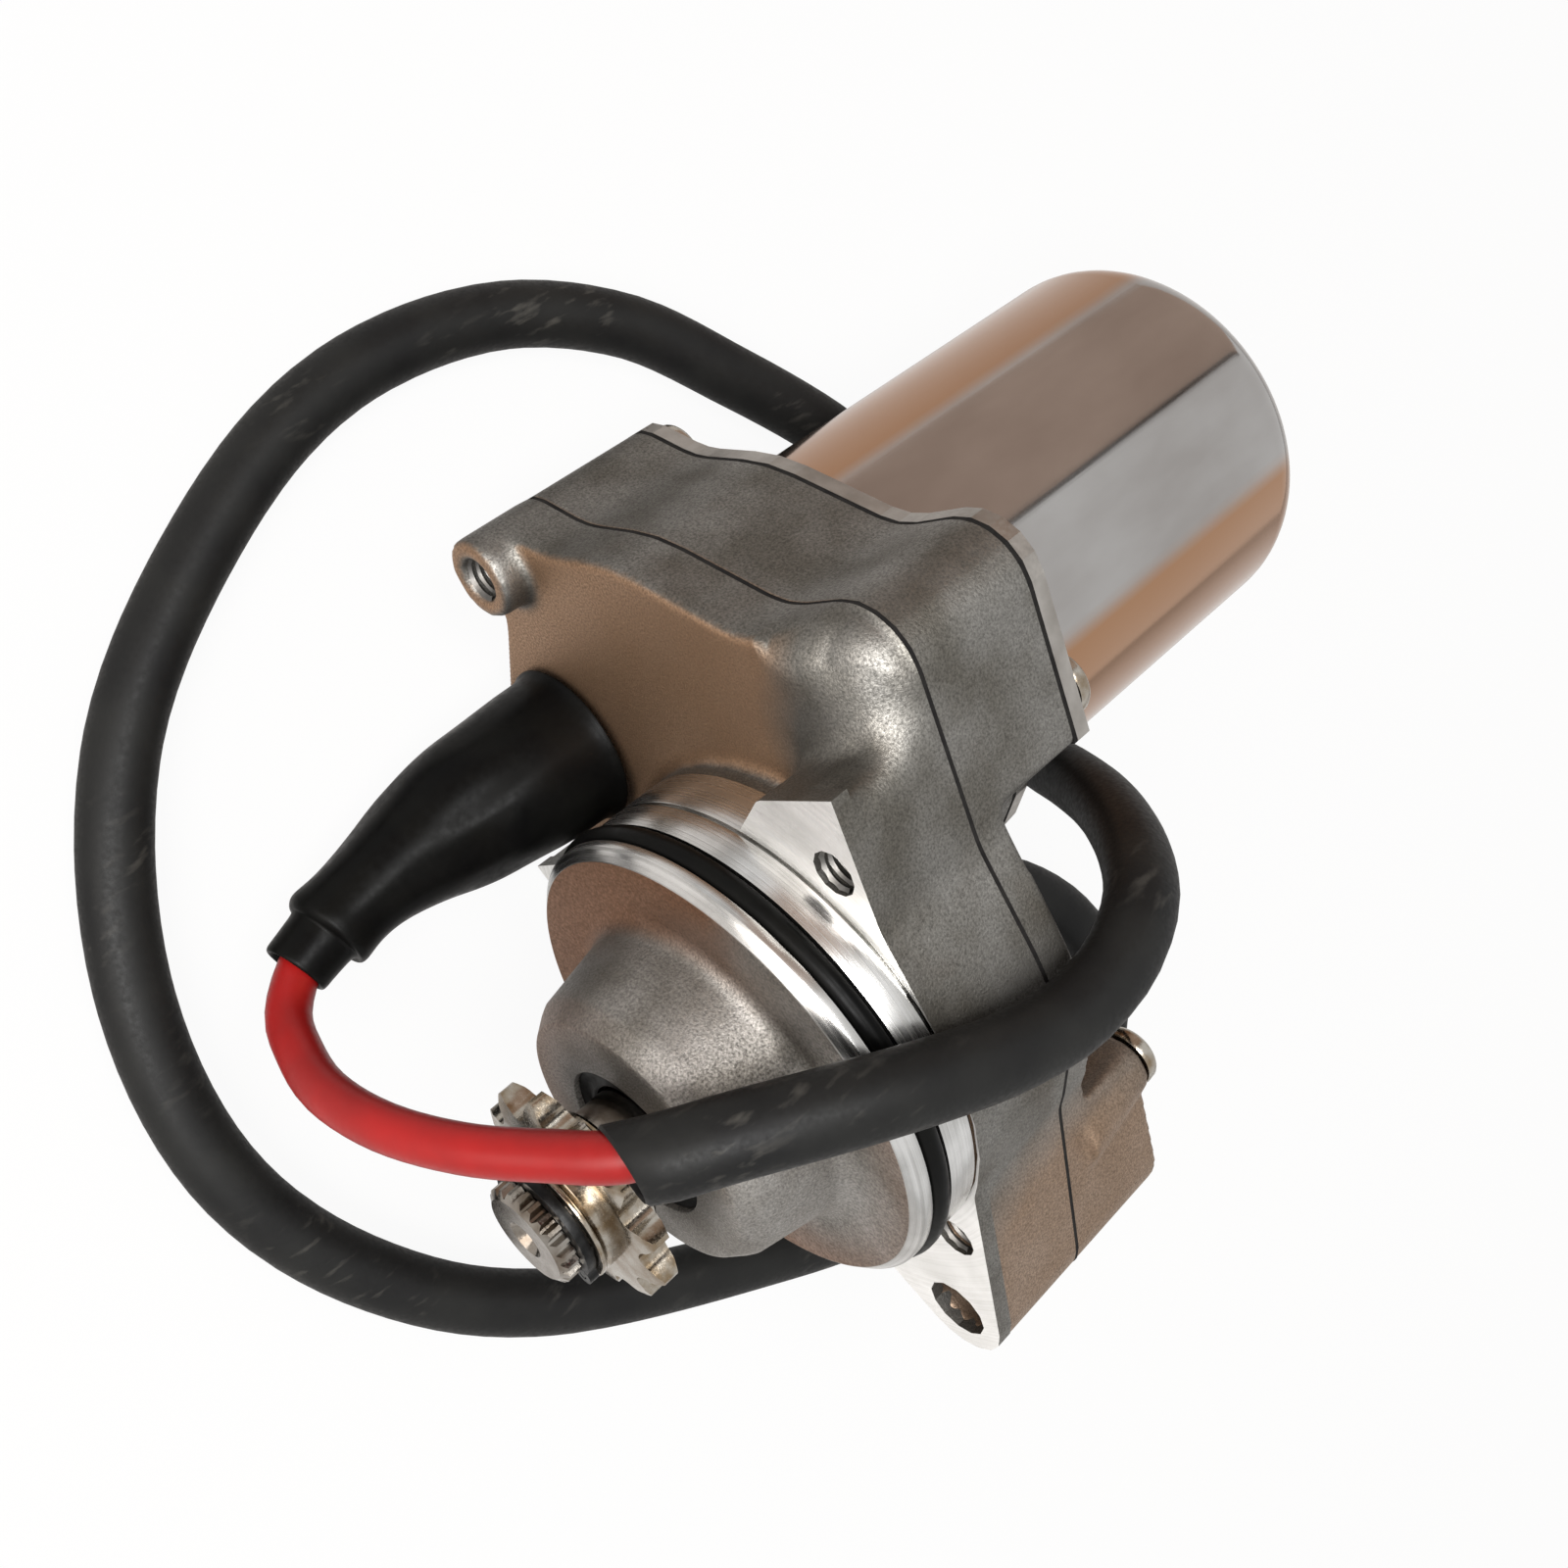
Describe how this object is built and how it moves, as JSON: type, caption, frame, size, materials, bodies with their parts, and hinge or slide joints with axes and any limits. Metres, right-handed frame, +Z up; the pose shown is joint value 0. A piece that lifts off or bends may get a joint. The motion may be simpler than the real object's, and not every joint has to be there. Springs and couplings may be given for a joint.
{
  "type": "geared starter motor",
  "caption": "Offset-geared DC starter motor with a piloted cast nose, chain sprocket on a splined shaft, round motor can, mounting ear and booted terminal with a sleeved cable.",
  "frame": {"origin": "under the middle of the motor's box, without its cable, on the surface that it lies on", "axes": "+Y along the output shaft from the sprocket towards the motor can, +Z up, +X towards the mounting ear"},
  "size_m": [0.1529, 0.1531, 0.0767],
  "materials": {
    "cast_aluminium": "as cast, matt, machined at the pilot",
    "gasket_paper": "matt",
    "plate_steel": "satin",
    "can_steel": "satin plated",
    "zinc_steel": "bright zinc",
    "shaft_steel": "ground",
    "black_steel": "black oxide",
    "core_steel": "plain",
    "black_rubber": "semi-gloss",
    "red_insulation": "glossy",
    "black_sleeve": "matt",
    "bronze": "sintered",
    "copper": "plain",
    "brass": "plain",
    "ferrite": "sintered, matt",
    "phenolic": "matt",
    "carbon": "matt"
  },
  "bodies": {
    "motor": {"front_cover": "cast_aluminium", "mid_housing": "cast_aluminium", "cover_gasket": "gasket_paper", "back_gasket": "gasket_paper", "motor_end_plate": "plate_steel", "motor_can": "can_steel", "pilot_o_ring": "black_rubber", "nose_oil_seal": "black_rubber", "output_front_bush": "bronze", "output_rear_bush": "bronze", "armature_front_bush": "bronze", "armature_rear_bush": "bronze", "field_magnet_1": "ferrite", "field_magnet_2": "ferrite", "brush_plate": "phenolic", "brush_holder_1": "brass", "brush_holder_2": "brass", "carbon_brush_1": "carbon", "carbon_brush_2": "carbon", "brush_spring_1": "shaft_steel", "brush_spring_2": "shaft_steel", "terminal_stud": "brass", "terminal_insulator": "phenolic", "terminal_nut_1": "zinc_steel", "terminal_nut_2": "zinc_steel", "ring_terminal": "brass", "terminal_boot": "black_rubber", "red_wire": "red_insulation", "cable_sleeve": "black_sleeve", "lug_shrink_sleeve": "black_sleeve", "cable_lug": "brass", "cover_screw_1": "zinc_steel", "cover_screw_2": "zinc_steel", "cover_screw_3": "zinc_steel", "cover_screw_4": "zinc_steel"},
    "output": {"output_shaft": "shaft_steel", "output_gear": "core_steel", "sprocket": "zinc_steel", "sprocket_washer": "zinc_steel", "sprocket_circlip": "black_steel"},
    "armature": {"armature_shaft": "shaft_steel", "lamination_core": "core_steel", "armature_winding": "copper", "commutator": "copper"}
  },
  "joints": [
    {"name": "output_spin", "type": "hinge", "parent": "motor", "child": "output", "pos_m": [0.00596, -0.03985, 0.0384], "axis": [0, 1, 0], "continuous": true},
    {"name": "armature_spin", "type": "hinge", "parent": "motor", "child": "armature", "pos_m": [-0.02104, 0.02, 0.03318], "axis": [0, 1, 0], "continuous": true}
  ],
  "couplings": [
    {"joint": "armature_spin", "follows": "output_spin", "ratio": -4.5}
  ]
}
